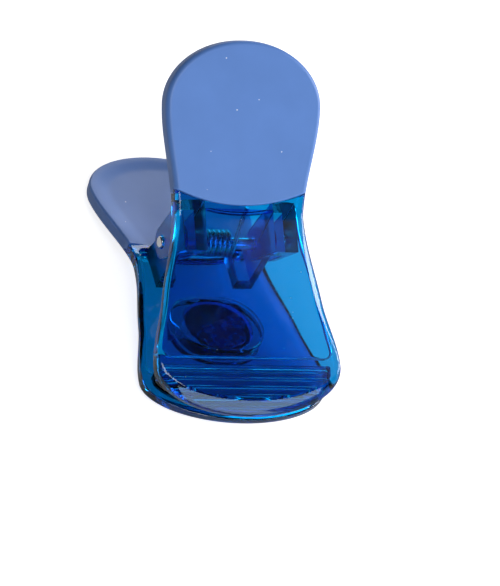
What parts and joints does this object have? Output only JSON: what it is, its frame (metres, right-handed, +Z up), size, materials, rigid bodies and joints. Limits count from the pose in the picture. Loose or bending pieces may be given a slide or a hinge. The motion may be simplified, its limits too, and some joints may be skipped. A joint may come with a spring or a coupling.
{
  "type": "magnetic memo clip",
  "caption": "Spring clip with two bent keyhole levers, translucent jaws, opaque handle grips, a pinned hinge with a torsion spring, and a round magnet set in the back lever.",
  "frame": {"origin": "centre of the magnet's outer face", "axes": "X along the hinge pin, Y along the back from the jaws to the handles, Z up from the surface that the clip's back lies on"},
  "size_m": [0.0496, 0.0955, 0.0667],
  "materials": {
    "blue_plastic": "clear tinted, polished",
    "grip_plastic": "satin, opaque",
    "pin_steel": "bright drawn",
    "spring_steel": "bright drawn wire",
    "magnet_ferrite": "sintered, dull",
    "clear_adhesive": "clear, with small bubbles"
  },
  "bodies": {
    "rear_lever": {"rear_shell": "blue_plastic", "rear_grip": "grip_plastic", "hinge_pin": "pin_steel", "torsion_spring": "spring_steel", "magnet": "magnet_ferrite", "magnet_adhesive": "clear_adhesive"},
    "front_lever": {"front_shell": "blue_plastic", "front_grip": "grip_plastic"}
  },
  "joints": [
    {"name": "squeeze", "type": "hinge", "parent": "rear_lever", "child": "front_lever", "pos_m": [0, 0.01502, 0.02029], "axis": [-1, 0, 0], "range_deg": [0, 75], "stiffness_Nm_per_rad": 0.35, "springref_deg": -40.11, "deforming": ["torsion_spring"]}
  ]
}
